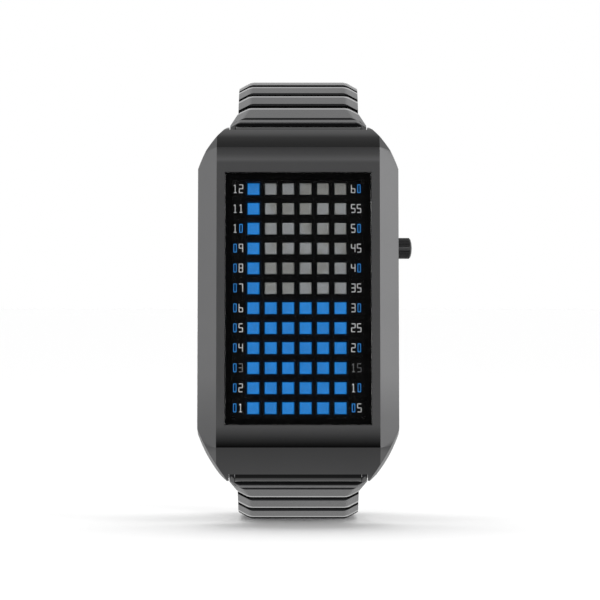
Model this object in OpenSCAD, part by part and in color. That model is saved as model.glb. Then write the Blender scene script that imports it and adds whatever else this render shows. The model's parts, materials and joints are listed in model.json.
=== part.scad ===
// LED bracelet watch, standing on its closed bracelet, in millimetres.
// The origin is the centre of the outer face of the link that it stands on.
// X runs to the right of the dial, Y from the dial to the back of the loop, Z up.

/* [Case] */
// Width of the case across its flanks
case_w = 33; // [30:0.5:38]
// Thickness of the case, crystal to case back
case_t = 9; // [9:0.1:12]
// Length of the flat front of the case
front_len = 50; // [48:0.2:54]
// Height of the middle of the front above the middle of the window
front_rise = 0.25; // [0:0.05:0.5]
// Length of the shoulder, from the end of the flank to the spring bar
shoulder_len = 6.7; // [5.3:0.1:9.3]
// Radius of the shoulder that runs from the flank to the lug
shoulder_r = 24; // [20:0.5:30]
// Angle at which the shoulder's arc leaves the flank
shoulder_turn = 20; // [14:1:24]
// Width of the slanted facet along each flank
facet_w = 3.1; // [2:0.1:3.4]
// Depth that the facet falls towards the flank
facet_drop = 1.6; // [1:0.1:2.4]
// Run of the end slope along the case
slope_run = 3.9; // [3:0.1:5]
// Depth of the end slope
slope_drop = 4.4; // [3.6:0.1:4.6]
// Lean of the standing case, top towards the back
lean = 10; // [5:0.5:12]

/* [Window] */
// Width of the crystal's recess
window_w = 24.1; // [22.8:0.1:25]
// Length of the crystal's recess
window_len = 42.1; // [40.6:0.1:43]
// Thickness of the crystal
crystal_t = 1.5; // [1:0.1:1.5]
// Width of the ledge under the crystal
ledge_w = 1; // [0.8:0.1:1.3]
// Thickness of the ledge
ledge_t = 0.75; // [0.6:0.05:0.9]
// Thickness of the gasket under the crystal
crystal_gasket_t = 0.2; // [0.1:0.05:0.2]

/* [Display] */
// Side of one LED
led_size = 1.98; // [1.5:0.01:2.1]
// Distance between LED columns
column_pitch = 2.86; // [2.5:0.01:3]
// Distance between LED rows
row_pitch = 3.32; // [2.6:0.01:3.4]
// Offset of the LED grid from the middle of the window, across
grid_shift = -0.22; // [-0.5:0.01:0.5]
// Height of the LED grid's middle above the middle of the window
grid_rise = 0.38; // [0:0.01:0.5]
// Number of LED columns
column_count = 6; // [3:1:6]
// Number of LED rows
row_count = 12; // [4:1:12]
// Number of rows, from the bottom, that are lit all the way across
lit_rows = 6; // [1:1:11]
// Thickness of the black mask around the LEDs
mask_t = 1.3; // [1:0.05:1.3]
// Thickness of the circuit board
board_t = 0.8; // [0.6:0.1:0.8]

/* [Inside] */
// Thickness of the case's walls beside the module
side_wall = 3; // [2.8:0.05:3.4]
// Length of the cavity for the module
cavity_len = 45; // [44:0.5:46]
// Side of the square post in each corner of the cavity
post_side = 3; // [2.6:0.1:3.2]
// Diameter of the coin battery
battery_d = 20; // [16:0.5:20]
// Thickness of the coin battery
battery_t = 2.5; // [1.6:0.1:2.5]
// Distance of the battery below the middle of the case
battery_drop = 4; // [2:0.5:6]
// Thickness of the module frame's rim
rim_t = 1.2; // [0.8:0.1:1.6]
// Thickness of the case back
back_t = 1; // [0.8:0.1:1]
// Margin by which the case back laps the cavity's side
back_lap = 1; // [0.8:0.1:1.2]
// Margin by which the case back laps the cavity's end
back_end_lap = 1.3; // [1.2:0.1:1.6]
// Thickness of the case back's gasket
back_gasket_t = 0.3; // [0.2:0.05:0.4]
// Diameter of a case back screw's thread
screw_d = 1; // [0.8:0.1:1.2]
// Diameter of a case back screw's head
screw_head_d = 1.9; // [1.7:0.1:2.2]

/* [Button] */
// Diameter of the button's ribbed head
button_d = 3.45; // [3:0.05:3.6]
// Length of the head that stands out of the flank
button_out = 2.25; // [1.8:0.05:2.8]
// Height of the button above the middle of the case
button_up = 9.3; // [6:0.1:12]
// Depth of the button's axis below the front
button_depth = 5.6; // [5.2:0.1:5.6]
// Travel of the button
button_travel = 0.6; // [0.4:0.05:0.7]
// Diameter of the button's stem
stem_d = 1.2; // [1:0.05:1.3]
// Number of ribs around the head
rib_count = 24; // [12:1:30]

/* [Bracelet] */
// Width of the bracelet
band_w = 20; // [19:0.1:20.4]
// Width of the first link across its ears
ear_span = 22.6; // [22:0.1:22.8]
// Width of each ear of the first link
ear_w = 0.85; // [0.7:0.05:1]
// Distance from the spring bar to the first link's far pivot
first_pitch = 7.2; // [7:0.1:8]
// Distance between the pivots of each other link
link_pitch = 5.4; // [5.2:0.1:6]
// Length of the flat outer face of a link
face_len = 4.2; // [3.8:0.1:4.4]
// Height of the outer face above the pivots
pivot_depth = 1.9; // [1.8:0.05:2.2]
// Thickness of a link
link_t = 3; // [2.9:0.05:3.4]
// Width of the slanted corner along each side of the bracelet
corner_w = 2; // [1:0.1:2.6]
// Fall of the slanted corner
corner_drop = 1.1; // [0.6:0.1:1.4]
// Diameter of a link pin
pin_d = 1; // [0.8:0.05:1.1]
// Diameter of a link's knuckle
knuckle_d = 1.9; // [1.7:0.05:2]
// Width of the tongue in the middle of a link
tongue_w = 6.5; // [5:0.5:7]
// Diameter of the spring bar
spring_bar_d = 1.5; // [1.2:0.05:1.6]
// Diameter of the end bar around the spring bar
end_bar_d = 2.8; // [2.5:0.05:2.9]
// Distance of the spring bar from the middle of the case
lug_reach = 28.3; // [28.2:0.1:29.2]
// Depth of the spring bar below the front
lug_depth = 6.3; // [6.2:0.1:6.6]

/* [Clasp] */
// Radius of the clasp's curve
clasp_r = 70; // [55:1:90]
// Thickness of the inner and middle blades
blade_t = 0.7; // [0.6:0.05:0.7]
// Thickness of the cover
cover_t = 1.2; // [1:0.05:1.3]
// Width of the inner blade
inner_blade_w = 15; // [12:0.5:17]
// Width of the middle blade
middle_blade_w = 14; // [10:0.5:17]
// Distance of the top hinge below the upper bracelet's last pivot
top_hinge_drop = 6; // [5.5:0.1:8]
// Distance of the bottom hinge above the lower bracelet's last pivot
bottom_hinge_rise = 3.2; // [3:0.1:5]
// Diameter of a clasp hinge pin
hinge_pin_d = 0.8; // [0.6:0.05:0.9]
// Diameter of a clasp hinge's knuckle
hinge_knuckle_d = 1.7; // [1.4:0.05:1.7]

/* [Fits] */
// Radial clearance of a pin or stem that turns or slides
running_gap = 0.03; // [0.02:0.01:0.06]
// Gap between pieces that lie side by side
side_gap = 0.1; // [0.05:0.01:0.15]
// Clearance of a piece set into a recess
seat_gap = 0.05; // [0.02:0.01:0.08]

/* [Hidden] */
// Heading of each link from level, from the lugs to the clasp, in degrees
upper_headings = [28, 22, 18, 8, 0, -6, -14, -28, -54];
lower_headings = [-22, -21, -18, 0, 1, 6, 16, 32, 54];
link_count = len(upper_headings);
// Number of the lower link that the watch stands on
standing_link = 4;

steel = [0.40, 0.40, 0.41];
dark_steel = [0.20, 0.20, 0.21];
black = [0.03, 0.03, 0.03];
lit_blue = [0.16, 0.50, 0.77];
unlit_grey = [0.60, 0.60, 0.58];
board_green = [0.05, 0.30, 0.15];
bright_steel = [0.70, 0.70, 0.70];
nylon = [0.85, 0.84, 0.80];

// Depths of the stack inside the case, from the front
ledge_top = crystal_t + seat_gap + crystal_gasket_t;
ledge_back = ledge_top + ledge_t;
mask_front = ledge_back + seat_gap;
mask_back = mask_front + mask_t;
board_front = mask_back + seat_gap;
board_back = board_front + board_t;
back_front = case_t - back_t;
gasket_front = back_front - back_gasket_t;
battery_front = board_back + 3 * side_gap;
battery_back = battery_front + battery_t;
frame_back = gasket_front - side_gap;
led_sink = 0.2;

lug_end = 1.2;
lug_tip = lug_reach + lug_end;
flank_len = 2 * (lug_reach - shoulder_len);
slope_turn = atan2(slope_drop, slope_run);
cavity_w = case_w - 2 * side_wall;
notch_w = ear_span + 2 * side_gap;
notch_r = 2;
ear_r = 1.5;
end_bar_len = ear_span - 2 * ear_w - 2 * side_gap;
spring_bar_len = 23.8;
back_bevel = 1.4;
flank_bevel = 1;

screw_x = cavity_w / 2 + back_lap - screw_head_d / 2 - 0.65;
screw_z = cavity_len / 2 + back_end_lap - screw_head_d / 2 - 0.95;
screw_head_t = 0.6;
screw_hole_len = 4.5;

// Wall behind the button's recess, which holds the stem's seals
stem_wall = 1.4;
recess_floor = cavity_w / 2 + stem_wall;
wave_spring_t = 0.4;
seal_d = 0.3;
seal_groove = 0.25;
clip_t = 0.4;
clip_d = 1.4 * stem_d;
switch_size = [1.6, 3];
// Distance of the switch's pressed face from the middle of the case
switch_face = cavity_w / 2 - rim_t - 8 * side_gap;

pin_len = band_w - 2 * corner_w;
link_gap = link_pitch - face_len;
core_gap = knuckle_d / 2 + 0.2;
flange_t = 0.8;
flange_drop = 1.4;
edge_bevel = 0.25;
rib_w = 1;
rib_sink = 0.35;
rib_groove = 0.5;

// A point of the case, given by its depth and height, as [y, z] from the middle of the dial
function from_case(d, z) = [d * cos(lean) + z * sin(lean), z * cos(lean) - d * sin(lean)];
// The point that lies a length away from another along a heading
function ahead(point, heading, length) = point + length * [cos(heading), sin(heading)];
function reach(n) = n < 2 ? first_pitch : link_pitch;
// The far pivot of link n of a bracelet that starts at a point
function far_pivot(start, headings, n) = n < 1 ? start
    : ahead(far_pivot(start, headings, n - 1), headings[n - 1], reach(n));

upper_start = from_case(lug_depth, front_rise + lug_reach);
lower_start = from_case(lug_depth, front_rise - lug_reach);
standing_pivot = far_pivot(lower_start, lower_headings, standing_link);
// The middle of the standing link's outer face, from the middle of the dial
ground = standing_pivot - [link_pitch / 2, pivot_depth];

upper_end = far_pivot(upper_start, upper_headings, link_count);
lower_end = far_pivot(lower_start, lower_headings, link_count);
clasp_chord = upper_end - lower_end;
clasp_middle = (upper_end + lower_end) / 2;
clasp_heading = atan2(clasp_chord.y, clasp_chord.x);
clasp_half_angle = asin(norm(clasp_chord) / 2 / clasp_r);
top_hinge_angle = clasp_half_angle - top_hinge_drop / clasp_r * 180 / PI;
bottom_hinge_angle = bottom_hinge_rise / clasp_r * 180 / PI - clasp_half_angle;

// Radii of the clasp's leaves about the centre of its curve
inner_r = clasp_r - link_t + pivot_depth;
middle_r = inner_r + blade_t + 2 * side_gap;
cover_r = clasp_r + pivot_depth - cover_t;
top_hinge_r = middle_r - side_gap;
bottom_hinge_r = cover_r - side_gap;

// Puts a piece that is drawn about the middle of the dial, Y inwards, in its standing place
module in_case() {
    translate([0, -ground.x, -ground.y]) rotate([-lean, 0, 0]) children();
}

// Puts a piece that is drawn about a pivot, Y along its heading, in its standing place
module at_pivot(point, heading) {
    translate([0, point.x - ground.x, point.y - ground.y]) rotate([heading, 0, 0]) children();
}

// Puts a piece that is drawn about the centre of the clasp's curve in its standing place
module in_clasp() {
    at_pivot(clasp_middle, clasp_heading - 90)
        translate([0, -clasp_r * cos(clasp_half_angle), 0]) children();
}

// Extrudes a profile that is drawn with Y and Z across the watch
module across(width) {
    rotate([90, 0, 90]) linear_extrude(width, center = true) children();
}

// Extrudes a profile that is drawn with X and Z from one depth to another
module inward(from, to) {
    translate([0, to, 0]) rotate([90, 0, 0]) linear_extrude(to - from) children();
}

module rod(diameter, width) {
    across(width) circle(d = diameter, $fn = 48);
}

// A rod across the case, from one distance to the right of the middle to another
module stem(diameter, from, to) {
    translate([from, button_depth, button_up]) rotate([0, 90, 0])
        cylinder(d = diameter, h = to - from, $fn = 48);
}

// Outline of the case seen from the front
module case_outline() {
    arc_x = case_w / 2 - shoulder_r * cos(shoulder_turn);
    arc_z = flank_len / 2 - shoulder_r * sin(shoulder_turn);
    difference() {
        square([case_w, 2 * lug_tip], center = true);
        for (side = [-1, 1], end = [-1, 1]) scale([side, end]) difference() {
            translate([case_w / 4, flank_len / 2]) square([case_w / 2, lug_tip]);
            translate([arc_x, arc_z]) circle(r = shoulder_r, $fn = 180);
        }
    }
}

// Section of the case across its middle, with the facets
module case_section() {
    half_w = case_w / 2;
    polygon([
        [half_w - facet_w, 0], [half_w, facet_drop], [half_w, case_t - flank_bevel],
        [half_w - back_bevel, case_t], [back_bevel - half_w, case_t],
        [-half_w, case_t - flank_bevel], [-half_w, facet_drop], [facet_w - half_w, 0]
    ]);
}

// Section square to an end slope: the facets follow the slope, and the rest lies far behind
module slope_section() {
    edge = case_w / 2 - facet_w;
    polygon([
        [edge - facet_w, -facet_drop], [edge + 2 * facet_w, 2 * facet_drop],
        [edge + 2 * facet_w, 2 * lug_tip], [-edge - 2 * facet_w, 2 * lug_tip],
        [-edge - 2 * facet_w, 2 * facet_drop], [facet_w - edge, -facet_drop]
    ]);
}

// Side view of the case, depth along X and height along Y
module case_side() {
    front_z = front_len / 2;
    end = [
        [0, front_z], [slope_drop, front_z + slope_run],
        [lug_depth - 0.9, lug_tip - 0.2], [lug_depth - 0.4, lug_tip],
        [lug_depth + 0.8, lug_tip], [case_t, lug_tip - back_bevel]
    ];
    last = len(end) - 1;
    polygon(concat(end, [for (n = [0:last]) [end[last - n].x, -end[last - n].y]]));
}

// Room between the lugs for the end bar and the first link, in the side view
module lug_notch() {
    translate([lug_depth, lug_reach]) {
        circle(r = notch_r, $fn = 64);
        translate([-notch_r, 0]) square([case_t, notch_r + lug_tip - lug_reach]);
        translate([0, -notch_r]) square([case_t, notch_r + lug_tip]);
    }
}

// Outline of the module, with its corners cut for the posts
module module_outline(gap) {
    difference() {
        square([cavity_w - 2 * gap, cavity_len - 2 * gap], center = true);
        for (side = [-1, 1], end = [-1, 1])
            translate([side * cavity_w / 2, end * cavity_len / 2])
                square(2 * (post_side + gap), center = true);
    }
}

module back_outline(gap) {
    square([
        cavity_w + 2 * back_lap - 2 * gap, cavity_len + 2 * back_end_lap - 2 * gap
    ], center = true);
}

module at_screws() {
    for (side = [-1, 1], end = [-1, 1]) translate([side * screw_x, end * screw_z]) children();
}

module case_body() {
    color(steel) in_case() difference() {
        translate([0, 0, front_rise]) intersection() {
            inward(0, case_t) case_outline();
            linear_extrude(2 * lug_tip, center = true) case_section();
            intersection_for(end = [-1, 1]) scale([1, 1, end]) translate([0, 0, front_len / 2])
                rotate([-slope_turn, 0, 0]) linear_extrude(4 * lug_tip, center = true)
                    slope_section();
            across(case_w) case_side();
        }
        inward(-1, ledge_top) square([window_w, window_len], center = true);
        inward(-1, case_t) square([window_w - 2 * ledge_w, window_len - 2 * ledge_w], center = true);
        inward(ledge_back, case_t) module_outline(0);
        inward(gasket_front, case_t + 1) back_outline(0);
        inward(case_t - screw_hole_len, case_t) at_screws() circle(d = screw_d, $fn = 24);
        for (end = [-1, 1]) translate([0, 0, front_rise]) scale([1, 1, end]) {
            across(notch_w) lug_notch();
            translate([0, lug_depth, lug_reach])
                rod(spring_bar_d + 2 * running_gap, spring_bar_len + side_gap);
        }
        stem(button_d + 2 * side_gap, recess_floor, case_w);
        stem(stem_d + 2 * side_gap, cavity_w / 2 - 1, case_w);
    }
}

module crystal() {
    color(black) in_case() inward(seat_gap, seat_gap + crystal_t)
        square([window_w - 2 * seat_gap, window_len - 2 * seat_gap], center = true);
}

module crystal_gasket() {
    color(black) in_case() inward(ledge_top - crystal_gasket_t, ledge_top) difference() {
        square([window_w - 2 * side_gap, window_len - 2 * side_gap], center = true);
        square([
            window_w - 2 * ledge_w + 2 * side_gap, window_len - 2 * ledge_w + 2 * side_gap
        ], center = true);
    }
}

// Tells whether the LED at a column and row, counted from the top left, is lit
function is_lit(column, row) = column == 0 || row >= row_count - lit_rows;

// Repeats a piece at the LEDs that are lit, or at those that aren't
module at_leds(lit) {
    for (column = [0:column_count - 1], row = [0:row_count - 1])
        if (is_lit(column, row) == lit) translate([
            grid_shift + (column - (column_count - 1) / 2) * column_pitch,
            grid_rise + ((row_count - 1) / 2 - row) * row_pitch
        ]) children();
}

module display_mask() {
    color(black) in_case() inward(mask_front, mask_back) difference() {
        module_outline(side_gap);
        for (lit = [true, false]) at_leds(lit) square(led_size + 2 * seat_gap, center = true);
    }
}

module leds(lit) {
    in_case() inward(mask_front + led_sink, board_front) at_leds(lit)
        square(led_size, center = true);
}

module leds_lit() { color(lit_blue) leds(true); }

module leds_unlit() { color(unlit_grey) leds(false); }

module circuit_board() {
    color(board_green) in_case() inward(board_front, board_back) module_outline(side_gap);
}

// Chips above the battery, a quartz can, and the switch that the button presses
module board_parts() {
    chip = 5;
    chip_t = 0.9;
    chip_up = 15.5;
    quartz = [2, 5];
    quartz_drop = 5;
    resistor = [0.8, 1.6];
    resistor_t = 0.5;
    resistor_pitch = 2.2;
    resistor_inset = 2.5;
    resistor_drop = cavity_len / 2 - rim_t - resistor_inset;
    quartz_t = 1.4;
    color(dark_steel) in_case() {
        for (side = [-1, 1]) inward(board_back, board_back + chip_t)
            translate([side * chip, chip_up]) square(chip, center = true);
        inward(board_back, board_back + quartz_t)
            translate([0, chip_up - quartz_drop]) square(quartz, center = true);
        inward(board_back, frame_back - side_gap)
            translate([switch_face - switch_size.x / 2, button_up])
                square(switch_size, center = true);
        for (n = [-2:2]) inward(board_back, board_back + resistor_t)
            translate([resistor_pitch * n, -resistor_drop]) square(resistor, center = true);
    }
}

module module_frame() {
    pocket_r = battery_d / 2 + side_gap;
    color(nylon) in_case() difference() {
        inward(board_back, frame_back) difference() {
            module_outline(side_gap);
            difference() {
                module_outline(side_gap + rim_t);
                translate([0, -battery_drop])
                    square([cavity_w, 2 * pocket_r + 2 * rim_t], center = true);
            }
            translate([0, -battery_drop]) circle(r = pocket_r, $fn = 96);
        }
        stem(2 * stem_d, cavity_w / 2 - 2 * rim_t, cavity_w / 2);
    }
}

module battery() {
    color(bright_steel) in_case() inward(battery_front, battery_back)
        translate([0, -battery_drop]) circle(d = battery_d, $fn = 96);
}

// A strap across the back of the battery, with a foot at each end in the module frame
module battery_clip() {
    strap_w = 5;
    strap_t = 0.2;
    strap_front = frame_back;
    color(bright_steel) in_case() inward(strap_front, strap_front + strap_t)
        translate([0, -battery_drop]) square([strap_w, battery_d + 1.5 * rim_t], center = true);
}

module case_back() {
    color(bright_steel) in_case() difference() {
        inward(back_front, case_t) back_outline(seat_gap);
        inward(back_front - 1, case_t + 1) at_screws() circle(d = screw_d + 2 * side_gap, $fn = 24);
        inward(case_t - screw_head_t, case_t + 1)
            at_screws() circle(d = screw_head_d + 2 * side_gap, $fn = 32);
    }
}

// A flat ring that follows the cavity's edge, inside the screws
module back_gasket() {
    gasket_w = 0.6;
    color(black) in_case() inward(gasket_front, back_front) difference() {
        module_outline(-gasket_w - side_gap);
        module_outline(-side_gap);
    }
}

module back_screws() {
    thread_len = 3;
    color(dark_steel) in_case() difference() {
        union() {
            inward(case_t - thread_len, case_t) at_screws()
                circle(d = screw_d - 2 * running_gap, $fn = 24);
            inward(case_t - screw_head_t, case_t) at_screws() circle(d = screw_head_d, $fn = 32);
        }
        inward(case_t - screw_head_t / 2, case_t + 1) at_screws()
            square([screw_head_d * 1.2, 0.3], center = true);
    }
}

// The head with its ribs, the stem with its two seal grooves, and the clip that holds it in
module button() {
    head_from = recess_floor + wave_spring_t + button_travel + seat_gap;
    head_to = case_w / 2 + button_out;
    clip_to = cavity_w / 2 - seat_gap;
    color(black) in_case() difference() {
        union() {
            translate([0, button_depth, button_up]) rotate([90, 0, 90]) rotate_extrude($fn = 96)
                button_profile(head_from, head_to);
            stem(stem_d, switch_face + button_travel + seat_gap, head_from);
            stem(clip_d, clip_to - clip_t, clip_to);
        }
        for (n = [0:rib_count - 1])
            translate([0, button_depth, button_up]) rotate([n * 360 / rib_count, 0, 0])
                translate([head_from + 0.5, 0, button_d / 2 + 0.05]) rotate([0, 90, 0])
                    cylinder(d = 0.3, h = button_out - 0.4, $fn = 16);
        for (x = seal_places()) translate([x, button_depth, button_up]) rotate([0, 90, 0])
            rotate_extrude($fn = 48) translate([stem_d / 2 - seal_groove, -seal_d / 2])
                square([seal_d, seal_d]);
    }
}

// Half of the head's lengthways section, its axis along Y, from its inner face to its dome
module button_profile(from, to) {
    r = button_d / 2;
    dome = 0.25;
    polygon([
        [0, from], [r, from], [r, to - dome - 0.25], [r - 0.25, to - dome], [r / 2, to - 0.07], [0, to]
    ]);
}

function seal_places() = [for (n = [0, 1]) recess_floor - (n + 0.5) * (seal_d + side_gap)];

module button_spring() {
    color(bright_steel) in_case() difference() {
        stem(button_d - 2 * side_gap, recess_floor, recess_floor + wave_spring_t);
        stem(stem_d + 4 * side_gap, recess_floor - 1, case_w);
    }
}

module button_seals() {
    color(black) in_case() for (x = seal_places())
        translate([x, button_depth, button_up]) rotate([0, 90, 0]) rotate_extrude($fn = 48)
            translate([stem_d / 2 - seal_groove + seal_d / 2, 0]) circle(d = seal_d - 0.02, $fn = 16);
}

module spring_bars() {
    color(bright_steel) for (start = [upper_start, lower_start]) at_pivot(start, 0)
        rod(spring_bar_d, spring_bar_len);
}

module end_bars() {
    color(dark_steel) for (start = [upper_start, lower_start]) at_pivot(start, 0) difference() {
        rod(end_bar_d, end_bar_len);
        rod(spring_bar_d + 2 * running_gap, band_w * 2);
    }
}

// Section of a link across the bracelet, X across and Y outwards from the pivots
module band_section(width) {
    half_w = width / 2;
    low = pivot_depth - link_t;
    polygon([
        [half_w - corner_w, pivot_depth], [half_w, pivot_depth - corner_drop],
        [half_w, low + edge_bevel], [half_w - edge_bevel, low],
        [edge_bevel - half_w, low], [-half_w, low + edge_bevel],
        [-half_w, pivot_depth - corner_drop], [corner_w - half_w, pivot_depth]
    ]);
}

// Side view of a link's body, X along the bracelet and Y outwards, from one distance to another
module link_side(from, to) {
    low = pivot_depth - link_t;
    polygon([
        [from + edge_bevel, pivot_depth], [to - edge_bevel, pivot_depth],
        [to, pivot_depth - edge_bevel], [to, low + edge_bevel], [to - edge_bevel, low],
        [from + edge_bevel, low], [from, low + edge_bevel], [from, pivot_depth - edge_bevel]
    ]);
}

// Room for a neighbour's knuckle about a pivot, and for the pin's ends
module knuckle_room(place) {
    translate([0, place, 0]) rod(2 * core_gap, pin_len + 2 * side_gap);
}

// A knuckle about the point 0 and the web that joins it to a body that starts at a distance
module knuckle(diameter, to) {
    circle(d = diameter, $fn = 48);
    translate([min(0, to), -diameter / 2]) square([abs(to), diameter]);
}

// Ears about the near pivot, between the tongue of the link before and the pin's ends
module near_ears() {
    difference() {
        across(pin_len) knuckle(knuckle_d, core_gap + side_gap);
        rod(knuckle_d * 3, tongue_w + 2 * side_gap);
    }
}

module far_tongue(length) {
    translate([0, length, 0]) across(tongue_w) knuckle(knuckle_d, -core_gap - side_gap);
}

module pin_hole(diameter, place) {
    translate([0, place, 0]) rod(diameter + 2 * running_gap, band_w * 2);
}

// Any link but the first, its near pivot at the origin
module band_link() {
    difference() {
        union() {
            difference() {
                intersection() {
                    across(band_w) link_side(link_gap / 2, link_pitch - link_gap / 2);
                    rotate([90, 0, 0]) linear_extrude(3 * link_pitch, center = true)
                        band_section(band_w);
                }
                knuckle_room(0);
                knuckle_room(link_pitch);
            }
            near_ears();
            far_tongue(link_pitch);
        }
        pin_hole(pin_d, 0);
        pin_hole(pin_d, link_pitch);
    }
}

// One side of the first link, with its slanted corner, narrowing from the ears to the next link
module taper_side() {
    taper_turn = atan2((ear_span - band_w) / 2, face_len + rib_groove);
    corner = corner_w * cos(taper_turn);
    low = pivot_depth - link_t;
    translate([band_w / 2, first_pitch - link_gap / 2, 0]) rotate([0, 0, taper_turn])
        rotate([90, 0, 0]) linear_extrude(3 * first_pitch, center = true) polygon([
            [-corner, pivot_depth], [0, pivot_depth - corner_drop], [0, low + edge_bevel],
            [-edge_bevel, low], [-2 * ear_span, low], [-2 * ear_span, pivot_depth]
        ]);
}

// The first link: ears round the spring bar, a low rib beside the end bar, then the face
module first_link() {
    face_from = first_pitch - face_len - link_gap / 2;
    rib_from = face_from - rib_groove - rib_w;
    low = pivot_depth - link_t;
    groove_floor = pivot_depth - 2 * rib_sink;
    difference() {
        union() {
            intersection() {
                union() {
                    across(ear_span) difference() {
                        link_side(face_from, first_pitch - link_gap / 2);
                        translate([first_pitch, 0]) circle(r = core_gap, $fn = 48);
                    }
                    across(ear_span) translate([0, low]) square([face_from + 1, groove_floor - low]);
                    across(ear_span) translate([rib_from, 0]) square([rib_w, pivot_depth - rib_sink]);
                    difference() {
                        across(ear_span) circle(r = ear_r, $fn = 64);
                        rod(4 * ear_r, end_bar_len);
                    }
                }
                intersection_for(side = [-1, 1]) scale([side, 1, 1]) taper_side();
                rotate([90, 0, 0]) linear_extrude(3 * first_pitch, center = true)
                    band_section(ear_span);
            }
            far_tongue(first_pitch);
        }
        rod(end_bar_d + 2 * side_gap, end_bar_len + 2 * side_gap);
        pin_hole(spring_bar_d, 0);
        pin_hole(pin_d, first_pitch);
    }
}

module upper_link(n) {
    start = far_pivot(upper_start, upper_headings, n - 1);
    color(steel) at_pivot(start, upper_headings[n - 1]) if (n == 1) first_link(); else band_link();
}

module lower_link(n) {
    start = far_pivot(lower_start, lower_headings, n - 1);
    color(steel) at_pivot(start, lower_headings[n - 1]) mirror([0, 0, 1])
        if (n == 1) first_link(); else band_link();
}

// The pin at the far pivot of link n
module link_pin(start, headings, n) {
    color(bright_steel) at_pivot(far_pivot(start, headings, n), 0) rod(pin_d, pin_len);
}

// A stretch of the clasp's curve between two angles, its section drawn with the radius along X
module leaf(from_angle, to_angle) {
    rotate([90, 0, 90]) rotate([0, 0, from_angle])
        rotate_extrude(angle = to_angle - from_angle, $fn = 360) children();
}

// Section of a plain blade, from its inner radius outwards
module blade_section(radius, width) {
    translate([radius, -width / 2]) square([blade_t, width]);
}

module on_clasp(radius, angle) {
    translate([0, radius * cos(angle), radius * sin(angle)]) rotate([angle, 0, 0]) children();
}

// Angle that a length takes on the clasp's curve
function arc_angle(length) = length / clasp_r * 180 / PI;

module clasp_inner_blade() {
    ear_to = arc_angle(2 * core_gap) - clasp_half_angle;
    color(steel) in_clasp() difference() {
        union() {
            leaf(arc_angle(core_gap) - clasp_half_angle, top_hinge_angle)
                blade_section(inner_r, inner_blade_w);
            leaf(-clasp_half_angle, ear_to) blade_section(inner_r, pin_len);
            on_clasp(clasp_r, -clasp_half_angle) rod(knuckle_d, pin_len);
            on_clasp(top_hinge_r, top_hinge_angle) rod(hinge_knuckle_d, middle_blade_w / 3);
        }
        on_clasp(clasp_r, -clasp_half_angle) {
            rod(pin_d + 2 * running_gap, 2 * band_w);
            rod(2 * core_gap, tongue_w + 2 * side_gap);
        }
        on_clasp(top_hinge_r, top_hinge_angle) {
            rod(hinge_pin_d + 2 * running_gap, 2 * band_w);
            side_rods(hinge_knuckle_d + 2 * side_gap, middle_blade_w / 3, 2 * band_w);
        }
    }
}

// Two rods on one axis, the stretch between them free
module side_rods(diameter, from, to) {
    difference() {
        rod(diameter, to);
        rod(2 * diameter, from);
    }
}

module clasp_middle_blade() {
    third = middle_blade_w / 3;
    color(steel) in_clasp() difference() {
        union() {
            leaf(bottom_hinge_angle, top_hinge_angle) blade_section(middle_r, middle_blade_w);
            on_clasp(top_hinge_r, top_hinge_angle)
                side_rods(hinge_knuckle_d, third + 2 * side_gap, middle_blade_w);
            on_clasp(bottom_hinge_r, bottom_hinge_angle) rod(hinge_knuckle_d, third);
        }
        on_clasp(top_hinge_r, top_hinge_angle) {
            rod(hinge_pin_d + 2 * running_gap, 2 * band_w);
            rod(hinge_knuckle_d + 2 * side_gap, third + 2 * side_gap);
        }
        on_clasp(bottom_hinge_r, bottom_hinge_angle) {
            rod(hinge_pin_d + 2 * running_gap, 2 * band_w);
            side_rods(hinge_knuckle_d + 2 * side_gap, third, 2 * band_w);
        }
    }
}

// Section of the cover, the radius along X: a plate with slanted corners and a flange each side
module cover_section() {
    half_w = band_w / 2;
    top = clasp_r + pivot_depth;
    low = top - cover_t - flange_drop;
    polygon([
        [top, corner_w - half_w], [top - corner_drop, -half_w], [low, -half_w],
        [low, flange_t - half_w], [cover_r, corner_w - half_w], [cover_r, half_w - corner_w],
        [low, half_w - flange_t], [low, half_w], [top - corner_drop, half_w], [top, half_w - corner_w]
    ]);
}

// The outer leaf, with the lower half of the bottom hinge
module clasp_cover() {
    third = middle_blade_w / 3;
    top = clasp_half_angle - arc_angle(core_gap + side_gap);
    color(steel) in_clasp() difference() {
        union() {
            leaf(bottom_hinge_angle, top) cover_section();
            on_clasp(bottom_hinge_r, bottom_hinge_angle)
                side_rods(hinge_knuckle_d, third + 2 * side_gap, middle_blade_w);
        }
        on_clasp(bottom_hinge_r, bottom_hinge_angle) {
            rod(hinge_pin_d + 2 * running_gap, 2 * band_w);
            rod(hinge_knuckle_d + 2 * side_gap, third + 2 * side_gap);
        }
    }
}

// The pins of the clasp's two hinges
module clasp_hinge_pins() {
    color(bright_steel) in_clasp() {
        on_clasp(top_hinge_r, top_hinge_angle) rod(hinge_pin_d, middle_blade_w);
        on_clasp(bottom_hinge_r, bottom_hinge_angle) rod(hinge_pin_d, middle_blade_w);
    }
}

case_body();
crystal();
crystal_gasket();
display_mask();
leds_lit();
leds_unlit();
circuit_board();
board_parts();
module_frame();
battery();
battery_clip();
case_back();
back_gasket();
back_screws();
button();
button_spring();
button_seals();
spring_bars();
end_bars();
for (n = [1:link_count]) {
    upper_link(n);
    lower_link(n);
    link_pin(upper_start, upper_headings, n);
    link_pin(lower_start, lower_headings, n);
}
clasp_inner_blade();
clasp_middle_blade();
clasp_cover();
clasp_hinge_pins();
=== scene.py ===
"""LED bracelet watch: the finish of its pieces, the light and the camera."""

import json
import math

import bmesh
import bpy
from mathutils import Matrix, Vector


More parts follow.
